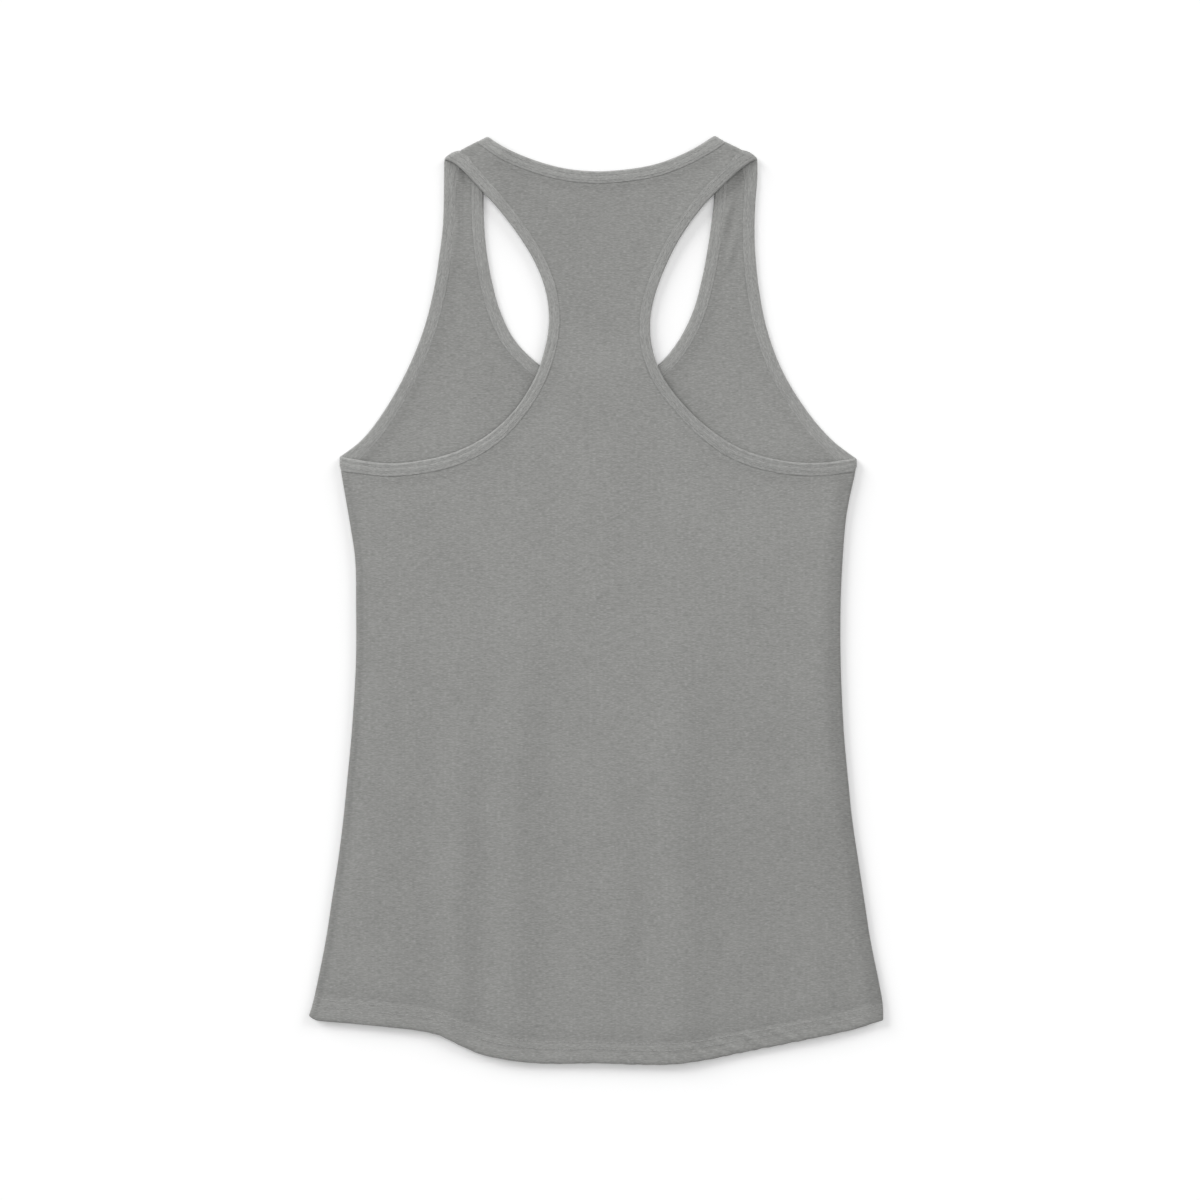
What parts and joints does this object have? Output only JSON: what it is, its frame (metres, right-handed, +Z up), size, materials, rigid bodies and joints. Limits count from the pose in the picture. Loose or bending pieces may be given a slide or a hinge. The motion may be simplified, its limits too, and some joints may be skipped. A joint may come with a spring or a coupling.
{
  "type": "racerback tank top",
  "caption": "Racerback tank top in jersey, laid flat with its back up: front and back panels, folded bands at the neck and armholes, and a curved turned-up hem.",
  "frame": {"origin": "middle of the garment's outline, on the surface it lies on", "axes": "+Y from the hem towards the shoulders, +X to the right as seen from above, +Z up out of the back panel"},
  "size_m": [0.422, 0.6824, 0.0069],
  "materials": {
    "body_jersey": "matt heather grey jersey",
    "band_jersey": "matt heather grey jersey, folded double and topstitched"
  },
  "bodies": {
    "root": {"front": "body_jersey", "back": "body_jersey", "neck_binding": "band_jersey", "armhole_binding_left": "band_jersey", "armhole_binding_right": "band_jersey"}
  },
  "joints": []
}
